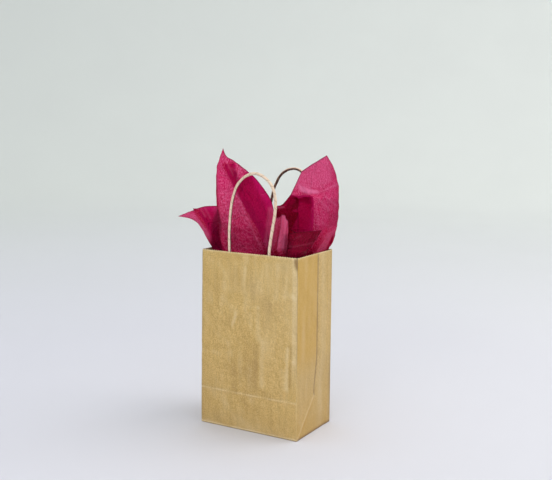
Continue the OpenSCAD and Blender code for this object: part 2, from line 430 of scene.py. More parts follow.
# Dents and soft folds of the front panel: two ends in x and z, half width and height
DENTS = [
    ((3, 146.5), (12.5, 150.5), 1.6, 0.35),
    ((-23.3, 127), (-17.7, 140), 2.2, 0.40),
    ((-19.5, 124), (-14.5, 137), 2.2, -0.30),
    ((34, 159), (58, 166), 4.5, 0.55),
    ((-65, 92), (-22, 95), 5.0, -0.45),
    ((18, 110), (15.5, 58), 5.0, 0.60),
    ((47, 168), (50, 188), 3.0, 0.30),
    ((56, 108), (54.5, 62), 2.6, -0.55),
    ((40, 79), (58, 92), 3.0, 0.35),
    ((-40, 150), (-34, 186), 6.0, 0.40),
    ((-4, 176), (-1, 196), 2.5, -0.28),
    ((10, 40), (19, 48), 7.0, -0.45),
]


# Painted broad highlights and painted shades on the front panel's print: middle in x and z, half width and half
# height, and strength, which is negative for a shade
PAINTED_TONES = [
    ((7, 70), (9, 26), -0.26),
    ((-14, 76), (16, 22), -0.12),
    ((-52, 50), (16, 16), -0.12),
    ((25, 122), (8, 44), 0.17),
    ((10, 174), (12, 20), 0.26),
    ((50, 204), (16, 10), 0.16),
    ((42, 62), (9, 16), -0.08),
    ((-10, 9), (44, 8), 0.12),
]


def bag_corners(z):
    """The six corners of the bag's plan at a height: four edges and the two gusset creases."""
    up = z / BAG_H
    dip = GUSSET_DIP * smooth_step(z, 34, 60)
    lean = 2.6 * up ** 1.5
    return [
        (-HALF_W + lean, -HALF_D + 0.2 * up),
        (HALF_W - 0.3 * up, -HALF_D),
        (HALF_W - 0.4 * dip, 6.5 * smooth_step(z, 46, 92) + up - 0.5),
        (HALF_W, HALF_D),
        (-HALF_W + 0.6 * up, HALF_D),
        (-HALF_W + dip + 0.5 * lean, 1.5 * up),
    ]


def shell_columns():
    """Side, place along the side from 0 to 1 and distance along the rim for each column."""
    base = bag_corners(0.0)
    columns, along = [], 0.0
    for side in range(6):
        a, b = np.array(base[side]), np.array(base[(side + 1) % 6])
        length = np.linalg.norm(b - a)
        count = 2 * round(length / STEP / 2)
        for k in range(count):
            columns.append((side, k / count, along + length * k / count))
        along += length
    return columns, along


def to_line(x, z, a, b):
    """Distance of a point of a panel from a line between two ends."""
    t = ((x - a[0]) * (b[0] - a[0]) + (z - a[1]) * (b[1] - a[1])) / ((b[0] - a[0]) ** 2 + (b[1] - a[1]) ** 2)
    t = min(1.0, max(0.0, t))
    return math.hypot(x - a[0] - t * (b[0] - a[0]), z - a[1] - t * (b[1] - a[1]))


def panel_relief(side, t, z, place):
    """How far a panel stands out from flat: its bow, and its waves, dents and small crumples."""
    up = z / BAG_H
    wide = side in (0, 3)
    middle = math.sin(math.pi * t)
    bow = (1.3 if wide else 0.5) * middle * math.sin(math.pi * min(1.0, up * 1.05)) ** 0.8
    wave = 0.8 * middle * noise.noise(place / 36 + Vector((side * 9.1, 0, 0)))
    upright = 0.35 * middle * noise.noise(Vector((place.x / 9, place.y / 9, place.z / 60 + side)))
    ripple = 0.22 * noise.noise(place / 12 + Vector((0, side * 4.7, 3)))
    crumple = 0.09 * noise.noise(place / 4.5 + Vector((side, 2, 8)))
    dents = 0.0
    if side == 0:
        dents = sum(height * bell(to_line(place.x, z, a, b), width) for a, b, width, height in DENTS)
    return bow, dents + (wave + upright + ripple + crumple) * smooth_step(z, 0, 12)


def gusset_lines(from_middle, z):
    """Distances from the slanting folds of a gusset's foot, and how strongly they show."""
    slope = 46 / HALF_D
    rise = 46 - slope * abs(from_middle)
    slant = (z - rise) / math.hypot(1, slope)
    return slant, 1.0 if z < 48 else 0.0


def bag_shell():
    """The folded body: outer gold face, inner bare face and a pinked rim, as one closed skin."""
    columns, around = shell_columns()
    rows = [0.0, 0.12, 0.4] + list(np.arange(STEP, BAG_H - 0.8, STEP)) + [BAG_H]
    outer, normals, reliefs = [], [], []
    values = {name: [] for name in ("wear_and_highlight", "dark", "print_through", "amber_and_shade", "paler_and_highlight")}
    for row, z in enumerate(rows):
        corners = [np.array(c) for c in bag_corners(z)]
        for index, (side, t, along) in enumerate(columns):
            a, b = corners[side], corners[(side + 1) % 6]
            run = b - a
            length = np.linalg.norm(run)
            out = np.array([run[1], -run[0]]) / length
            flat = a + run * t
            bow, relief = panel_relief(side, t, z, Vector((flat[0], flat[1], z)))
            reliefs.append(relief)
            gusset = side not in (0, 3)
            front = side == 0
            from_edge = min(t, 1 - t) * length
            # On a gusset t runs between its centre crease and an edge of the bag
            at_crease = (side in (1, 4)) == (t > 0.5)
            crease_y = corners[2][1] if side in (1, 2) else corners[5][1]
            from_middle = flat[1] - crease_y
            across = HALF_D - abs(flat[1]) if gusset else from_edge
            slant, low = gusset_lines(from_middle, z) if gusset else (99.0, 0.0)
            fold_depth = 0.12 if gusset else 0.5
            fold = fold_depth * (bell(z - CREASE_Z, 1.3) - 0.5 * bell(z - CREASE_Z - 2.4, 1.5))
            fold += (0.5 if flat[1] < 0 else 0.12) * bell(slant, 1.4) * low
            offset = bow + relief + (fold if wide_enough(from_edge) else 0)
            offset -= 0.28 * math.exp(-(z / 0.18)) + 0.35 * math.exp(-across / 0.7)
            # The front edge of the right gusset is pressed in near the rim
            pressed = 0.0
            if front and t > 0.5:
                pressed = float(smooth_step(z, 192, BAG_H)) * max(0.0, 1 - from_edge / 7.0)
                offset -= 0.6 * math.exp(-((from_edge - 0.5) / 5.0) ** 2) * float(smooth_step(z, 60, 90))
            offset -= 1.6 * pressed
            lap = side == 2 and flat[1] > HALF_D - 12
            if lap:
                offset += 0.4
            if not gusset and PATCH_LOW[2] - 4 < z < PATCH_HIGH[2] + 4 and abs(flat[0]) < PATCH_HIGH[0] + 4:
                offset = max(offset, 0.15)
            teeth = TOOTH * (1 if index % 2 else -1) if row == len(rows) - 1 else 0
            point = flat + out * offset
            outer.append((point[0], point[1], z + teeth))
            normals.append((out[0], out[1]))
            patchy = 0.5 + 0.5 * noise.noise(Vector((flat[0] / 9, flat[1] / 9, z / 5)))
            rim = math.exp(-(BAG_H - z) / 0.8)
            foot = 0.0 if gusset else 0.9 * bell(z - 1.6, 0.9) + (2.6 * patchy ** 2 * math.exp(-z / 3.5) * (z > 1) if front else 0)
            crease = 0.5 if front else 0.35 if side == 3 else 0.05
            broken = float(smooth_step(noise.noise(Vector((flat[0] / 15 + 3, side, 0))), -0.35, 0.25))
            # Paler at the rim, wear along the foot and the front corners, a painted highlight along the bottom crease,
            # and paler lines on the slanting folds of the gusset's foot
            values["wear_and_highlight"].append(0.8 * rim + 0.6 * foot + 0.25 * math.exp(-across / 0.6) * (z < 190) * (flat[1] < 0)
                                  + crease * (0.35 + 0.65 * broken) * bell(z - CREASE_Z, 0.8)
                                  + (0.45 * bell(slant, 1.6) * low * (1.0 if from_middle < 0 else 0.2)))
            # Painted shade: a dark line in the gusset's middle crease, a painted contact shadow at the foot, shade
            # along the gusset's rear edge, a shade line just above the bottom crease, the pressed-in corner strip and
            # the front's left edge where it turns away; the gusset, and the front and rear panels below the crease, are
            # also made darker towards the foot
            middle_crease_shade = bell(from_middle, 1.3) * (z > 44) if gusset else 0.0
            contact_shadow = 0.95 * math.exp(-(z / 2.2) ** 2) if gusset else 0.85 * math.exp(-(z / 0.8) ** 2)
            rear_edge_shade = 0.85 * math.exp(-across / 2.6) * (1 - float(smooth_step(z, 50, 110)))
            values["dark"].append((0.55 + 0.35 * patchy) * middle_crease_shade + contact_shadow
                                  + (0.28 * math.exp(-across / 3.5) + rear_edge_shade) * (gusset and from_middle > 0)
                                  + (0.06 + 0.08 * (1 - float(smooth_step(z, 60, 110))) if gusset else 0.0)
                                  + 0.16 * bell(z - CREASE_Z - 1.8, 1.2) * (not gusset)
                                  + 0.75 * float(smooth_step(pressed, 0.05, 0.35))
                                  + ((0.18 if z > 50 else 0.4) * math.exp(-from_edge / 1.6) if front and t < 0.5 else 0)
                                  + 0.10 * (1 - float(smooth_step(z, 10, 44))) * (not gusset))
            in_patch = smooth_step(z, PATCH_LOW[2] - 2, PATCH_LOW[2] + 3)
            in_patch *= 1 - smooth_step(z, PATCH_HIGH[2] - 3, PATCH_HIGH[2] + 2)
            in_patch *= 1 - smooth_step(abs(flat[0]), PATCH_HIGH[0] - 4, PATCH_HIGH[0] + 3)
            values["print_through"].append(0 if gusset else in_patch)
            # Painted shade on the gusset: its front half and a band just under its slanting fold are painted a darker
            # amber, the rear half less, and it browns towards its foot; the front panel only gets an even amber tint
            half = 1.0 if from_middle < 0 else 0.15 + 0.5 * float(smooth_step(from_middle, 26, 36))
            amber_and_shade = half * float(smooth_step(z, 60, 105))
            amber_and_shade += 0.9 * bell(slant + 2.6, 2.6) * low * (from_middle < 0)
            foot_brown = 0.45 * (1 - float(smooth_step(z, 20, 90)))
            values["amber_and_shade"].append(0.8 * amber_and_shade + foot_brown if gusset else 0.12)
            # Painted highlights and reflections: a strip of the front panel by its right edge, a paler, greyer rear
            # half of the gusset and the front's upper right; the gusset is also made paler low down
            corner_highlight = float(smooth_step(from_edge, 8.5, 6.0)) if front and t > 0.5 else 0.0
            grey = bell(from_middle - 14, 8.0) * (from_middle > 1) if gusset else 0.0
            low_grey = 0.2 * (1 - float(smooth_step(z, 50, 100))) if gusset and z > 20 else 0.0
            values["paler_and_highlight"].append(0.40 * corner_highlight * float(smooth_step(z, 48, 100)) * (1 - pressed)
                                   + 0.25 * grey + 0.25 * low_grey
                                   + (0.18 * float(smooth_step(flat[0], 10, 60)) * up_part(z) if front else 0))
            # Painted highlights and shades of the front panel
            if front:
                for (x, height), (wide, tall), strength in PAINTED_TONES:
                    shown = strength * math.exp(-((flat[0] - x) / wide) ** 2 - ((z - height) / tall) ** 2)
                    values["paler_and_highlight" if strength > 0 else "dark"][-1] += abs(shown)
    # Painted light and shade from the relief's slopes: those that face up and to the right are painted brighter, those
    # that face away darker
    relief = np.array(reliefs).reshape(len(rows), len(columns))
    relief *= np.array([1.0 if side in (0, 3) else 0.45 for side, _, _ in columns])
    slope_shading = -1.1 * np.gradient(relief, axis=1) / STEP
    slope_shading[3:] -= 0.7 * np.gradient(relief[3:], axis=0) / STEP
    values["paler_and_highlight"] = np.array(values["paler_and_highlight"]) + np.clip(3.2 * slope_shading, 0, 0.55).ravel()
    values["dark"] = np.array(values["dark"]) + np.clip(-1.9 * slope_shading, 0, 0.36).ravel()
    outer = np.array(outer)
    normals = np.array(normals)
    inner = outer.copy()
    inner[:, :2] -= normals * PAPER_T
    wide, tall = len(columns), len(rows)
    # The inner skin stops 0.28 mm up, and a lip runs in from there under the bottom flaps
    lip_low, lip_high = inner[:wide].copy(), inner[:wide].copy()
    lip_low[:, :2] -= normals[:wide] * LIP
    lip_high[:, :2] -= normals[:wide] * LIP
    lip_low[:, 2], lip_high[:, 2] = 0.03, 0.27
    inner[:wide, 2] = 0.27
    inner[wide:2 * wide, 2] = 0.29
    count = wide * tall
    faces = strip_faces(tall, wide, True)
    faces += strip_faces(tall, wide, True, start=count, flip=True)
    slots = [0] * (len(faces) // 2) + [1] * (len(faces) // 2)
    top, low_ring, high_ring = (tall - 1) * wide, 2 * count, 2 * count + wide
    for column in range(wide):
        after = (column + 1) % wide
        faces.append((top + column, top + after, count + top + after, count + top + column))
        faces.append((after, column, low_ring + column, low_ring + after))
        faces.append((low_ring + after, low_ring + column, high_ring + column, high_ring + after))
        faces.append((high_ring + after, high_ring + column, count + column, count + after))
        slots += [1, 0, 1, 1]
    piece = mesh_piece("bag_shell", np.vstack([outer, inner, lip_low, lip_high]), faces, [GOLD, INSIDE], slots)
    for name, shown in values.items():
        set_values(piece, name, np.concatenate([shown, shown, shown[:wide], shown[:wide]]))
    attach(piece, "bag")
    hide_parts("front_panel", "rear_panel", "left_gusset", "right_gusset", "side_seam_lap")
    return piece


def up_part(z):
    """1 over the upper part of a panel and 0 at its foot."""
    return float(smooth_step(z, 60, 170))


def wide_enough(from_edge):
    return from_edge > 1.0


# ---------------------------------------------------------------- handles

# Each loop's centre line in its own plane: distance across, and height above the bending line
FRONT_LOOP = [
    (-27, 2), (-28, 20), (-27.5, 39), (-26.2, 54), (-21.5, 71), (-15.5, 80), (-8, 86), (0, 89),
    (6, 89.3), (13.5, 87), (21.5, 82), (27.2, 75.5), (30.7, 67.5), (32.5, 57), (32.3, 45),
    (30.3, 30), (28, 13), (27, 2),
]
REAR_LOOP = [
    (-27, 2), (-25.5, 20), (-24.3, 37), (-23.2, 52), (-21.7, 65), (-19.5, 72), (-16, 80.5),
    (-10.5, 87), (-3.5, 91), (4, 92.3), (11, 91), (17.5, 87), (24, 80), (28.5, 71), (31, 60),
    (31.5, 48), (30, 30), (28, 13), (27, 2),
]


def handle_route(side, lean, loop):
    """The cord's centre line from one held end, over the crown, to the other."""
    hinge_z = LEGS_HIGH[2] + CORD_R + 0.3
    flat = [(x, side * LEG_Y + h * math.sin(lean), hinge_z + h * math.cos(lean)) for x, h in loop]
    legs = [(side * LEG_Y, z) for z in (LEGS_LOW[2] + 1, 185, 200, BAG_H - 2)]
    left = [(-FOOT_X, *end) for end in legs]
    right = [(FOOT_X, *end) for end in legs[::-1]]
    return np.array(left + flat + right)


def twisted_cord(name, route, rings_mm, seed, inward):
    """A tube along a route whose surface is a paper strip wound in a tight screw."""
    length = np.linalg.norm(np.diff(route, axis=0), axis=1).sum()
    count = int(length / rings_mm)
    path = spline(route, count)
    tangent = np.gradient(path, axis=0)
    tangent /= np.linalg.norm(tangent, axis=1)[:, None]
    across = np.cross(tangent, np.array([0, 1, 0.05]))
    across /= np.linalg.norm(across, axis=1)[:, None]
    other = np.cross(tangent, across)
    sides = 30
    angle = np.linspace(0, 2 * math.pi, sides, endpoint=False)
    run = np.linspace(0, length, count)
    pitch = 8.5
    turn = (angle[None, :] / (2 * math.pi) + run[:, None] / pitch) % 1.0
    swell = 1 + 0.035 * np.sin(2 * angle[None, :] + run[:, None] * 2 * math.pi / 17.0)
    rough = np.array([noise.noise(Vector((r / 6.0, seed, 0))) for r in run])[:, None] * 0.03
    radius = CORD_R * (0.93 + 0.10 * turn * smooth_step(1 - turn, 0, 0.07)) * swell * (1 + rough)
    ring = (across[:, None, :] * np.cos(angle)[None, :, None]
            + other[:, None, :] * np.sin(angle)[None, :, None])
    points = (path[:, None, :] + ring * radius[:, :, None]).reshape(-1, 3)
    faces = strip_faces(count, sides, True)
    faces.append(tuple(range(sides))[::-1])
    faces.append(tuple((count - 1) * sides + k for k in range(sides)))
    piece = mesh_piece(name, points, faces, [CORD])
    set_values(piece, "seam", 0.75 * (bell(turn - 1, 0.05) + bell(turn, 0.05)))
    # Painted shade: the side that faces the opening and the middle of the loop is painted brown
    facing = ring[:, :, 1] * inward - 0.9 * np.cos(angle)[None, :] + 0.1 * np.sin(run[:, None] / 4)
    set_values(piece, "shaded_side", smooth_step(facing, 0.25, 0.65))
    return piece


def handles():
    for name, side, lean, loop in (("front", -1, 4, FRONT_LOOP), ("rear", 1, 12, REAR_LOOP)):
        route = handle_route(side, math.radians(lean), loop)
        piece = twisted_cord(name + "_handle_cord", route, 0.6, side * 3.0, -side)
        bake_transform(piece)
        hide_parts(name + "_handle_legs", name + "_handle_loop")


# ---------------------------------------------------------------- tissue

def rib(*points, fold=False, pleats=0.3, behind=None, pale=0.0, thick=0.0, mark=True):
    """
    A line up the sheet from the pinch, past the rim, to the cut edge. A fold is sharp across the
    sheet and, if mark is set, has a painted dark line of shade along it, pleats is the depth of the small pleats at the
    cut edge, behind is the gap at which the rib lies against the back of the layer in front of it, pale is how strongly
    a painted highlight lies on it, and thick is 1 where several layers lie on one another, painted a deep wine red that
    also stands in for shade.
    """
    return {"points": points, "fold": fold, "pleats": pleats, "behind": behind, "pale": pale,
            "thick": thick, "mark": fold and mark}


LAYER_GAP = 1.1

LEFT_PINCH = (-24, -4, 150)
LEFT_RIBS = [
    # The corner that droops over the left rim: its lower cut edge, its tip and its upper edge
    rib((-57, -25, 213), (-58, -25, 215), (-59, -25, 217), (-60, -25, 219), fold=True),
    rib((-58, -28, 213), (-62, -29, 219), (-66, -30, 226), (-67.5, -30, 229), pale=0.2),
    rib((-58, -28, 213), (-65, -30, 225), (-73, -32, 238), (-77.5, -32, 242.5), pale=0.3),
    rib((-57, -27, 213), (-66, -30, 228), (-77, -32, 242.5), (-88, -33, 248), pale=0.35),
    rib((-57, -26, 213), (-66, -29, 231), (-80, -32, 246), (-106, -33, 248.5), fold=True, pleats=0, pale=0.3,
        mark=False),
    rib((-56, -23, 213), (-64, -26, 235), (-74, -30, 251), (-86, -31, 256.5)),
    rib((-55, -19, 213), (-61, -23, 238), (-67, -26, 256), (-71.5, -27, 262)),
    rib((-46, -9, 213), (-48, -11, 236), (-50, -16, 255), (-53, -20, 263.5), fold=True),
    # The tall corner: its left edge, its tip and its long right edge
    rib((-50, -19, 213), (-55, -20, 245), (-58, -20, 272), (-58.5, -20, 296), fold=True),
    rib((-46, -21, 213), (-53, -21, 250), (-57, -20.5, 285), (-57, -20, 311)),
    rib((-43, -23, 213), (-50, -22, 250), (-54, -21.5, 290), (-48.5, -20, 332), fold=True, pleats=0, mark=False),
    rib((-36, -24, 213), (-42, -23, 250), (-43, -22, 290), (-44, -20, 323)),
    rib((-28, -25, 213), (-33, -24, 250), (-33, -23, 290), (-31, -21.5, 317)),
    rib((-15, -26, 213), (-17, -25.5, 250), (-15, -24, 285), (-11, -22.5, 305)),
    rib((-2, -26.5, 213), (-1, -27, 245), (-0.5, -26, 275), (-0.5, -23.5, 298)),
    rib((6, -26, 213), (8, -27, 240), (10.5, -26, 265), (11.5, -24, 286)),
    rib((12, -25.5, 213), (16, -25.5, 235), (19, -25, 256), (20.5, -24, 273.5)),
    rib((15, -25, 213), (19, -25.5, 228), (23, -25, 243), (25.5, -24, 258), fold=True),
    # A second layer against its back, with a stepped top edge and a long straight cut edge
    rib((13, -22, 213), (14, -22, 235), (14, -22, 258), (11, -22, 273), behind=LAYER_GAP, pleats=0),
    rib((13, -22, 213), (10, -22, 240), (4, -22, 268), (-10, -20, 302), behind=LAYER_GAP, pleats=0),
    rib((13, -22, 213), (7, -22, 238), (-5, -22, 262), (-24.5, -20, 291), behind=LAYER_GAP, pleats=0),
    rib((13, -22, 213), (4, -22, 240), (-14, -22, 275), (-33, -20, 315.5), fold=True,
        behind=LAYER_GAP, pleats=0),
    rib((13, -22, 213), (6, -22, 233), (-20.5, -22, 272.5), (-50.5, -20, 314), fold=True,
        behind=LAYER_GAP, pleats=0),
    rib((13, -22, 213), (6, -22, 233), (-9, -22, 255), (-29, -21, 284), behind=LAYER_GAP, pleats=0),
    rib((13, -22, 213), (10, -22, 225), (4, -22, 236), (-5, -22, 249), behind=LAYER_GAP, pleats=0),
    rib((12, -20, 213), (12, -20, 216), (11, -20, 219), (10, -20, 222), fold=True, pleats=0.5),
    # The pleated back of the sheet
    rib((9, -12, 213), (8, -10, 220), (6, -8, 228), (3, -5, 235), pleats=4),
    rib((4, 6, 213), (3, 8, 223), (1, 10, 232), (-2, 11, 241), pleats=6),
    rib((-8, 17, 213), (-8, 18, 223), (-10, 19, 233), (-13, 20, 243), pleats=6.5),
    rib((-26, 20, 213), (-27, 21, 224), (-29, 22, 235), (-32, 22, 246), pleats=6.5),
    rib((-42, 17, 213), (-44, 17, 223), (-46, 17, 232), (-48, 16, 240), pleats=6),
    rib((-53, 8, 213), (-55, 7, 220), (-57, 6, 227), (-59, 5, 233), pleats=4.5),
    # The layer behind the drooping corner
    rib((-53, -8, 213), (-53, -10, 226), (-53, -13, 240), (-55, -15, 254), pleats=1),
    rib((-54, -16, 213), (-58, -21, 232), (-64, -24, 246), (-71, -25, 259), behind=LAYER_GAP, pleats=0),
    rib((-55, -18, 213), (-61, -24, 230), (-70, -27, 245), (-86, -29, 259), fold=True,
        behind=LAYER_GAP, pleats=0),
    rib((-56, -20, 213), (-60, -24, 222), (-65, -26, 231), (-72, -27, 239), behind=LAYER_GAP, pleats=0),
]

RIGHT_PINCH = (34, 0, 150)
RIGHT_RIBS = [
    # The ruffle beside the front handle
    rib((20, -26, 213), (22, -27, 230), (24, -26, 244), (25, -25, 256), fold=True, pale=0.5),
    rib((24, -24, 213), (25.5, -24, 232), (26.5, -23.5, 246), (27, -23, 256), pale=0.3),
    rib((27, -28, 213), (28.5, -28, 226), (29, -27, 240), (30, -26, 255), pale=0.4),
    rib((30, -21, 213), (31.5, -20, 228), (32.5, -20, 244), (32.5, -21, 257.5), pale=0.2),
    rib((34, -32, 213), (34, -32, 224), (36, -30, 244), (36.5, -28, 259.5), fold=True, pale=0.75),
    rib((38, -28.5, 213), (38.5, -28.5, 226), (39, -26.5, 243), (39.5, -25.5, 258.5), pale=0.6),
    rib((41, -31, 213), (41.5, -32, 226), (42.5, -31, 240), (42, -28, 255.5), pale=0.85),
    rib((44, -26, 213), (44, -27, 224), (44.5, -27, 238), (44, -25.5, 251), pale=0.4),
    rib((46, -34, 213), (46, -33, 222), (46, -32, 234), (45, -30, 245), pale=0.6),
    rib((46, -28, 213), (45, -26, 221), (44, -25, 229), (43, -24, 237)),
    # The pocket at the front right corner, in two layers
    rib((50, -37, 213), (48, -32, 222), (46, -28, 230), (44, -25, 237.5), fold=True, pleats=0, thick=1),
    rib((57, -37, 213), (56, -31, 222), (55, -24, 231), (54, -18, 239.5), pleats=0, thick=1),
    rib((62, -32, 213), (63, -23, 222), (65, -14, 231), (66, -5, 240), pleats=0, thick=1),
    rib((63.5, -21, 213), (67, -13, 222), (69, -4, 231), (71, 5, 240), fold=True, pleats=0, thick=1),
    rib((61, -27, 213), (62, -21, 222), (63, -13, 230), (63, -8, 238.5), behind=LAYER_GAP, pleats=0,
        thick=1),
    rib((54, -33, 213), (54, -28, 222), (52, -22, 230), (50, -19, 237.5), fold=True, behind=LAYER_GAP,
        pleats=0, thick=1),
    # The hollow behind the pocket, with the pale tip at its left
    rib((52, -12, 213), (51, -10, 221), (48, -8, 229), (44, -6, 236), pleats=2),
    rib((30, -8, 213), (28, -6, 225), (26, -4, 236), (24, -2, 247), pleats=1.5),
    rib((17, 0, 213), (15, 2, 232), (13, 3, 250), (12, 3, 265), fold=True, pleats=0),
    rib((24, 9, 213), (22, 13, 238), (20, 12, 256), (18, 6, 267), pleats=0),
    # The overhanging lip on the left of the tall corner
    rib((32, 12, 213), (31, 20, 240), (30, 21, 262), (29.5, 19.5, 273), (28, 10.5, 277.5), (27, 9, 278.5),
        fold=True, pleats=0),
    rib((41, 15, 213), (42, 22, 240), (41, 23, 262), (40.5, 21, 274), (39, 10.5, 278), (38.5, 9, 279.5),
        (31.5, 10, 288), pleats=0),
    rib((50, 16, 213), (51, 23, 240), (51, 23.5, 264), (51, 21.5, 275.5), (51, 11.5, 279.5), (50, 10, 281),
        (41, 10, 306.5), fold=True, pleats=0, mark=False),
    rib((59, 12, 213), (62, 20, 238), (63, 21.5, 262), (63, 19, 277), (62.5, 13.5, 281), (61.5, 12.5, 284),
        (57, 13, 298), (51, 14, 314), pleats=0.2),
    # The tall corner: its tip and its right cut edge, down to the rim
    rib((64, 4, 213), (71, 14, 232), (75, 22, 262), (75, 22, 295), (68.5, 20, 325.5), fold=True, pleats=0,
        mark=False),
    rib((64, 18, 213), (73, 23, 235), (79, 25, 262), (80, 24, 290), (77, 23, 309.5), pleats=0.2),
    rib((63.5, 30, 213), (74, 29, 236), (81, 27, 262), (81.5, 26, 277), (82, 25, 290), fold=True, pleats=0.2,
        mark=False),
    rib((64, 33, 213), (71.5, 31, 229), (77, 30, 241), (80, 29, 254)),
    rib((64, 34, 213), (68, 33.5, 218), (71.5, 33, 224), (74.5, 32, 231), fold=True),
    # The pleated back of the sheet
    rib((54, 30, 213), (55, 30, 219), (56, 30, 225), (56, 31, 231), pleats=5),
    rib((44, 27, 213), (46, 27, 223), (48, 28, 232), (49, 29, 242), pleats=5),
    # A second layer against the back of the lip and of the hollow
    rib((45, 22, 213), (48, 27, 238), (49, 28, 262), (49, 24, 277), fold=True, behind=LAYER_GAP, pleats=0),
    rib((38, 18, 213), (40, 25, 238), (40, 27, 260), (39, 24, 276), behind=LAYER_GAP, pleats=0.3),
    rib((28, 17, 213), (28, 23, 236), (27, 24, 254), (26, 22, 274), behind=LAYER_GAP, pleats=0.3),
    rib((18, 22, 213), (16, 22, 232), (13, 20, 248), (11, 17, 264), pleats=0.5),
    rib((11, 14, 213), (10, 14, 226), (9, 13, 244), (8, 11, 262), pleats=0.5),
    rib((12, 0, 213), (12, -2, 224), (13, -4, 238), (15, -7, 252), pleats=2),
]

# Parts of a sheet that differ, each with its strength, its span of y and its outline in x and z: shade parts are
# painted shade, pale parts painted highlights, and doubled and thick parts painted darker, which under the lip and in
# the hollow is painted shade. A crease is a line between two points, which stands out a little and catches light as a
# painted highlight.
LEFT_PARTS = [
    ("shade", 0.40, (-32, -17), [(-44, 240), (-24, 233), (-6, 212), (-46, 212)]),
    ("shade", 0.5, (-32, -17), [(-60, 246), (-51, 232), (-49, 210), (-62, 210)]),
    ("shade", 0.20, (-32, -17), [(-19, 270), (0, 246), (15, 222), (23, 228), (8, 252), (-11, 276)]),
    ("shade", 0.2, (-32, -17), [(-31, 311), (-22, 296), (-20, 284), (-30, 292), (-40, 306)]),
    ("shade", 0.65, (-30, -5), [(-64, 240), (-57, 264), (-48, 240), (-52, 208), (-62, 214)]),
    ("shade", 0.18, (-32, -17), [
        (-29, 278), (-20, 268), (-13.5, 256), (-4, 240.5), (11, 215), (-30, 212), (-46, 225), (-52, 250)]),
    ("crease", 0.5, (-30, -17), [(-45, 319), (-33, 301)]),
    ("crease", 0.4, (-30, -17), [(-40, 309), (-20, 305)]),
    ("crease", 0.5, (-30, -17), [(-23, 312), (-27, 296)]),
    ("crease", 0.45, (-30, -17), [(-55, 279), (-35, 280)]),
    ("crease", 0.5, (-32, -20), [(-26, 280), (-13.5, 256)]),
    ("crease", 0.5, (-32, -20), [(-13.5, 256), (-4, 240.5)]),
    ("crease", 0.5, (-32, -20), [(-4, 240.5), (9, 220)]),
    ("crease", 0.35, (-32, -20), [(-52, 262), (-44, 246)]),
    ("crease", 0.35, (-32, -20), [(-50, 240), (-22, 228)]),
    ("crease", 0.4, (-32, -20), [(-44, 234), (-30, 219)]),
    ("crease", 0.5, (-34, -22), [(-75, 259), (-69, 250)]),
    ("crease", 0.4, (-34, -18), [(-70, 260), (-64, 248)]),
    ("doubled_and_shade", 1, (-30, -17), [
        (-46, 313), (-45, 309.5), (-31, 285), (-25, 276.5), (-17, 267.5), (-0.3, 246.5), (15, 222),
        (19, 208), (40, 208), (40, 290), (0, 304), (-11, 310), (-23, 294.5), (-28.5, 304.5), (-30, 314.5)]),
    ("doubled_and_shade", 1, (-34, -6), [
        (-77.5, 275), (-77, 254), (-69.5, 243), (-65.5, 232.5), (-60, 218.5), (-55, 208), (-40, 205),
        (-57, 225), (-57, 300)]),
    ("pale", 0.08, (-30, -17), [
        (-62, 278.5), (-33.5, 280), (-23.5, 275.5), (-15, 265.5), (2.5, 243.5), (9, 232), (-9, 241),
        (-24, 255.5), (-40, 236), (-62, 240)]),
    ("pale", 0.3, (-30, -20), [
        (12, 226), (14, 246), (16, 266), (24, 268), (30, 250), (30, 234), (24, 216), (16, 212)]),
    ("pale", 0.5, (-30, -20), [(17, 230), (18, 246), (21, 256), (26, 252), (28, 236), (22, 224)]),
]
RIGHT_PARTS = [
    ("shade", 0.35, (11, 34), [(18, 282), (52, 284), (50, 266), (34, 268), (20, 258)]),
    ("shade", 0.45, (-40, 0), [(38, 238), (46, 238), (60, 212), (40, 210)]),
    ("shade", 0.35, (5, 34), [(50, 262), (56, 262), (60, 225), (50, 225)]),
    ("shade", 0.25, (5, 34), [(50, 276), (84, 276), (80, 244), (52, 232)]),
    ("crease", 1.0, (5, 15), [(38, 290), (60, 282.5)]),
    ("crease", 0.7, (5, 30), [(63, 283), (82, 293)]),
    ("crease", 0.5, (5, 30), [(58, 275), (71, 262)]),
    ("crease", 0.5, (5, 30), [(67, 278), (79, 268)]),
    ("crease", 0.4, (5, 30), [(56, 250), (74, 242)]),
    ("crease", 0.45, (5, 30), [(43, 301), (60, 297)]),
    ("crease", 0.4, (5, 30), [(54, 307), (66, 319)]),
    ("crease", 0.2, (-40, 0), [(41, 224), (54, 224)]),
    ("crease", 0.2, (-40, 5), [(54, 224), (68, 227)]),
    ("crease", 0.6, (-40, -18), [(41, 226), (49.5, 212)]),
    ("crease", 0.15, (-40, 0), [(52, 232), (57, 235)]),
    ("crease", 0.6, (-2, 10), [(12.5, 263), (18, 263.5)]),
    ("doubled_and_shade", 1, (-6, 15), [(5, 240), (5, 290), (28.5, 278.5), (28.5, 240)]),
    ("doubled_and_shade", 1, (-2, 34), [(0, 225), (0, 277), (28.5, 277.5), (44, 278.5), (50.5, 279), (50, 225)]),
    ("plies_and_shade", 1, (-15, 14), [(5, 205), (5, 261), (15, 263), (33, 258), (45, 250), (56, 232), (56, 205)]),
    ("plies_and_shade", 1, (5, 34), [(0, 262), (0, 276), (27, 277), (33, 276), (31, 262), (20, 255)]),
    ("plies_and_shade", 1, (14, 34), [(0, 205), (0, 261), (10, 262.5), (27.5, 257.5), (32, 256), (24, 235), (24, 205)]),
    ("pale", 0.85, (5, 16), [(36, 293.5), (45, 288.5), (63, 285.5), (63, 281), (46, 279.5), (38, 284)]),
    ("pale", 0.22, (5, 30), [(30, 284), (66, 287), (76, 296), (74, 312), (68, 332), (30, 305)]),
    ("pale", 0.25, (-5, 30), [(54, 205), (66, 232), (78, 242), (84, 236), (72, 205)]),
]

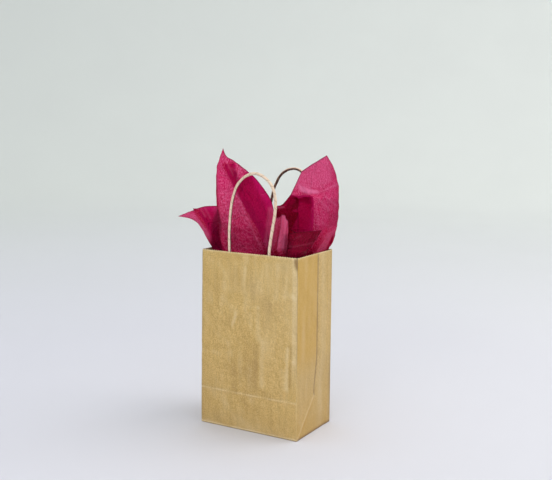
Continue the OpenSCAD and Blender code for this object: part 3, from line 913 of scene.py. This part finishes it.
RIB_ROWS = 100
COLUMN_STEP = 1.7     # spacing of the columns along the cut edge
PLEAT_PITCH = 12.5    # spacing of the small pleats along the cut edge
HIDDEN_DEPTH = 3.0    # depth of the pleats under the rim, where the sheet is gathered


def across_ribs(curves, sharp, widths):
    """Fills in the columns between neighbouring ribs: straight from fold to fold, and smooth between."""
    count = len(curves)
    columns = []
    for k in range(count):
        after = (k + 1) % count
        p1, p2 = curves[k], curves[after]
        p0 = p1 if sharp[k] else curves[k - 1]
        p3 = p2 if sharp[after] else curves[(k + 2) % count]
        m1 = (p2 - p0) / (1 if sharp[k] else 2)
        m2 = (p3 - p1) / (1 if sharp[after] else 2)
        for step in range(widths[k]):
            t = step / widths[k]
            if sharp[k] and sharp[after]:
                columns.append(p1 + (p2 - p1) * t)
                continue
            columns.append(p1 * (2 * t ** 3 - 3 * t ** 2 + 1) + m1 * (t ** 3 - 2 * t ** 2 + t)
                           + p2 * (3 * t ** 2 - 2 * t ** 3) + m2 * (t ** 3 - t ** 2))
    return np.array(columns).transpose(1, 0, 2)


def lay_behind(grid, gaps):
    """Moves the columns that lie against another layer to their gap behind it, along Y."""
    near_y = 9.0
    front = grid[:, gaps <= 0].reshape(-1, 3)
    for column in np.flatnonzero(gaps > 0):
        for row in range(len(grid)):
            x, y, z = grid[row, column]
            if z < BAG_H - 12:
                continue
            side = front[np.abs(front[:, 1] - y) < near_y]
            distance = (side[:, 0] - x) ** 2 + (side[:, 2] - z) ** 2
            nearest = np.argpartition(distance, 4)[:4]
            weight = 1 / (distance[nearest] + 0.05)
            depth = (side[nearest, 1] * weight).sum() / weight.sum() + gaps[column]
            hold = smooth_step(z, BAG_H - 12, BAG_H) * (1 - smooth_step(distance[nearest[0]], 9, 60))
            grid[row, column, 1] = y + (depth - y) * hold


def crumple(points, seed):
    """Height of the long straight creases and small facets of crushed paper, in millimetres."""
    random = np.random.default_rng(seed)
    broad = soft_noise(points, 55, seed)
    made = np.zeros(len(points))
    for size, height, lines in ((34.0, 1.3, 5), (13.0, 0.6, 6), (6.0, 0.25, 5)):
        for line in range(lines):
            run = random.normal(size=3) * (1, 0.2, 1)
            wave = points @ (run / np.linalg.norm(run)) / size + random.uniform(0, 1) + 0.3 * broad
            shape = np.abs(2 * (wave % 1) - 1) - 0.5
            where = smooth_step(soft_noise(points, size * 1.3, line + size), -0.2, 0.6)
            made += height * shape * where
    return made


def columns_between(values, widths):
    """Spreads one number for each rib evenly over the columns between the ribs."""
    around = values[1:] + values[:1]
    return np.concatenate([np.linspace(a, b, n, endpoint=False) for a, b, n in zip(values, around, widths)])


def inside(points, outline):
    """Signed distance of points from an outline in x and z, in millimetres: positive inside it."""
    x, z = points[:, 0], points[:, 2]
    nearest = np.full(len(points), 1e9)
    within = np.zeros(len(points), bool)
    for (ax, az), (bx, bz) in zip(outline, outline[1:] + outline[:1]):
        t = np.clip(((x - ax) * (bx - ax) + (z - az) * (bz - az)) / ((bx - ax) ** 2 + (bz - az) ** 2), 0, 1)
        nearest = np.minimum(nearest, np.hypot(x - ax - t * (bx - ax), z - az - t * (bz - az)))
        crosses = (az > z) != (bz > z)
        slope = (bx - ax) / (bz - az) if bz != az else 0.0
        within ^= crosses & (x < ax + (z - az) * slope)
    return np.where(within, nearest, -nearest)


def part_values(points, parts, kind):
    """How far each point is inside the parts of one kind: 0.5 on an outline, in steps of 8 mm."""
    best = np.full(len(points), -9.0)
    for name, strength, (near, far), outline in parts:
        if name == kind:
            deep = np.where((points[:, 1] > near) & (points[:, 1] < far), inside(points, outline), -9.0)
            best = np.maximum(best, deep)
    return 0.5 + best / 8


def crease_values(points, parts):
    """How near each point is to the creases of a sheet, times their strengths."""
    made = np.zeros(len(points))
    for name, strength, (near, far), line in parts:
        if name == "crease":
            held = (points[:, 1] > near) & (points[:, 1] < far)
            made = np.maximum(made, np.where(held, strength * bell(inside(points, line), 1.1), 0))
    return made


def soft_values(points, parts, kind):
    """Strengths of the soft-edged parts of one kind at each point."""
    made = np.zeros(len(points))
    for part in parts:
        if part[0] == kind:
            made = np.maximum(made, part[1] * smooth_step(part_values(points, [part], kind), 0.4, 0.85))
    return made


def tissue_sheet(body, pinch, ribs, parts, seed):
    curves = [spline([pinch, *one["points"]], RIB_ROWS) for one in ribs]
    sharp = [one["fold"] for one in ribs]
    ends = np.array([curve[-1] for curve in curves])
    lengths = np.linalg.norm(np.roll(ends, -1, axis=0) - ends, axis=1)
    widths = [max(4, round(length / COLUMN_STEP)) for length in lengths]
    grid = across_ribs(curves, sharp, widths)
    depth = columns_between([one["pleats"] for one in ribs], widths)
    behind = [one["behind"] or 0 for one in ribs]
    gaps = np.concatenate([[a if a and b else 0.0] * n
                           for a, b, n in zip(behind, behind[1:] + behind[:1], widths)])
    lay_behind(grid, gaps)
    edge = np.linalg.norm(np.roll(grid[-1], -1, axis=0) - grid[-1], axis=1)
    along = np.concatenate([[0], np.cumsum(edge)[:-1]])
    steps = np.linalg.norm(np.diff(grid, axis=0), axis=2)
    reach = np.vstack([np.zeros(grid.shape[1]), np.cumsum(steps, axis=0)])
    turn = 2 * math.pi * along / edge.sum()
    flat = np.stack([reach * np.cos(turn), reach * np.sin(turn)], axis=2)
    # Outward from the line through the pinch, so that layers which touch crease together
    axis = np.array(pinch[:2], float)
    out = (grid[:, :, :2] - axis) * (0.5, 1.0)
    out /= np.maximum(np.linalg.norm(out, axis=2), 4.0)[:, :, None]
    z = grid[:, :, 2]
    height = crumple(grid.reshape(-1, 3), seed).reshape(z.shape) * smooth_step(reach, 15, 60)
    height += crease_values(grid.reshape(-1, 3), parts).reshape(z.shape)
    height *= 0.25 + 0.75 * smooth_step(reach[-1][None, :] - reach, 0, 14)
    grid[:, :, 1] += out[:, :, 1] * height
    waves = max(1, round(edge.sum() / PLEAT_PITCH))
    pleat = np.sin(waves * turn + 0.8 * np.sin(3 * turn))
    gathered = smooth_step(z, pinch[2] + 2, pinch[2] + 32) * (1 - smooth_step(z, BAG_H - 12, BAG_H + 4))
    height = pleat * (HIDDEN_DEPTH * gathered + depth * smooth_step(z, BAG_H - 25, BAG_H + 12))
    grid[:, :, :2] += out * height[:, :, None]
    rows, columns = reach.shape
    # The pinch is one point, and every other row is a closed ring round it
    points = np.vstack([grid[0, :1], grid[1:].reshape(-1, 3)])
    faces = [(0, 1 + (k + 1) % columns, 1 + k) for k in range(columns)]
    faces += strip_faces(rows - 1, columns, True, start=1, flip=True)
    piece = mesh_piece(body + "_paper", points, faces, [TISSUE])
    # Painted shade: a dark line along the cut edge and along the marked folds above the rim, and over the shade parts
    to_edge = bell((reach[-1][None, :] - reach)[1:], 1.1)
    folded = np.concatenate([[one["mark"]] + [False] * (n - 1) for one, n in zip(ribs, widths)])
    above = smooth_step(z[1:], BAG_H, BAG_H + 12)
    lines = np.concatenate([[0], np.maximum(to_edge, 0.45 * folded * above).ravel()])
    set_values(piece, "edge", np.maximum(lines, soft_values(points, parts, "shade")))
    thick = np.tile(columns_between([one["thick"] for one in ribs], widths), len(grid) - 1)
    # Doubled and thick paper is painted darker; under the lip, in the hollow and on the pocket this is painted shade
    set_values(piece, "doubled_and_shade", part_values(points, parts, "doubled_and_shade"))
    set_values(piece, "plies_and_shade", np.maximum(part_values(points, parts, "plies_and_shade"), np.concatenate([[0], thick])))
    # Painted highlights: on ribs that catch light, on the pale parts and along the creases
    pale = columns_between([one["pale"] for one in ribs], widths)[None, :] * above
    lit = np.maximum(soft_values(points, parts, "pale"), 0.6 * crease_values(points, parts))
    set_values(piece, "pale", np.maximum(lit, np.concatenate([[0], pale.ravel()])))
    flat_m = np.zeros((len(points), 3))
    flat_m[1:, :2] = flat[1:].reshape(-1, 2) * MM
    made = piece.data.attributes.new("flat", "FLOAT_VECTOR", "POINT")
    made.data.foreach_set("vector", flat_m.ravel())
    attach(piece, body)
    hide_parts(body + "_sheet")
    return piece


# ---------------------------------------------------------------- building

def studio():
    """A pale floor that curves up into a wall all round."""
    wall_r, fillet = 3.6, 1.4
    profile = [(0, 0), (0.5, 0), (1.2, 0), (wall_r - fillet, 0)]
    profile += [(wall_r - fillet + fillet * math.sin(a), fillet - fillet * math.cos(a))
                for a in np.radians(np.arange(6, 91, 6))]
    profile += [(wall_r, 2.4), (wall_r, 3.4)]
    turns = 96
    points = [(r * math.cos(2 * math.pi * k / turns) / MM, r * math.sin(2 * math.pi * k / turns) / MM, z / MM)
              for r, z in profile for k in range(turns)]
    faces = strip_faces(len(profile), turns, True, flip=False)
    floor = mesh_piece("studio_floor", points, faces, [stage_material()])
    floor.data.flip_normals()
    bpy.context.scene.view_settings.view_transform = "Standard"
    world = bpy.data.worlds.new("studio_light")
    world.use_nodes = True
    world.node_tree.nodes["Background"].inputs["Color"].default_value = (0.97, 1.0, 0.98, 1)
    world.node_tree.nodes["Background"].inputs["Strength"].default_value = 1.13
    bpy.context.scene.world = world
    area_light("key", (0.9, 0.5, 1.5), (0, 0, 0.15), 1.3, 10, (1.0, 0.97, 0.93))
    area_light("front_fill", (0.3, -2.0, 0.9), (0, 0, 0.15), 1.6, 10, (1.0, 0.99, 0.98))


def dress(node, material):
    """Gives a CAD node that stays in view its material."""
    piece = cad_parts[node]
    piece.data.materials.clear()
    piece.data.materials.append(material)


camera()
studio()
GOLD = gold_kraft()
FLAP = gold_flap()
INSIDE = bare_kraft("bare_kraft", (0.42, 0.30, 0.19), (0.30, 0.20, 0.12))
STRIP = bare_kraft("strip_paper", (0.50, 0.37, 0.24), (0.38, 0.26, 0.15))
GLUE = dried_glue()
CORD = paper_cord()
TISSUE = tissue_paper()

bag_shell()
for node in ("bottom_rear_flap", "bottom_front_flap"):
    dress(node, FLAP)
for node in ("bottom_left_tuck", "bottom_right_tuck"):
    dress(node, INSIDE)
for node in ("side_seam_glue", "bottom_glue", "front_patch_glue", "rear_patch_glue"):
    dress(node, GLUE)
for node in ("front_patch_backing", "front_patch_cover", "rear_patch_backing", "rear_patch_cover"):
    dress(node, STRIP)
handles()
tissue_sheet("left_tissue", LEFT_PINCH, LEFT_RIBS, LEFT_PARTS, 3)
tissue_sheet("right_tissue", RIGHT_PINCH, RIGHT_RIBS, RIGHT_PARTS, 8)
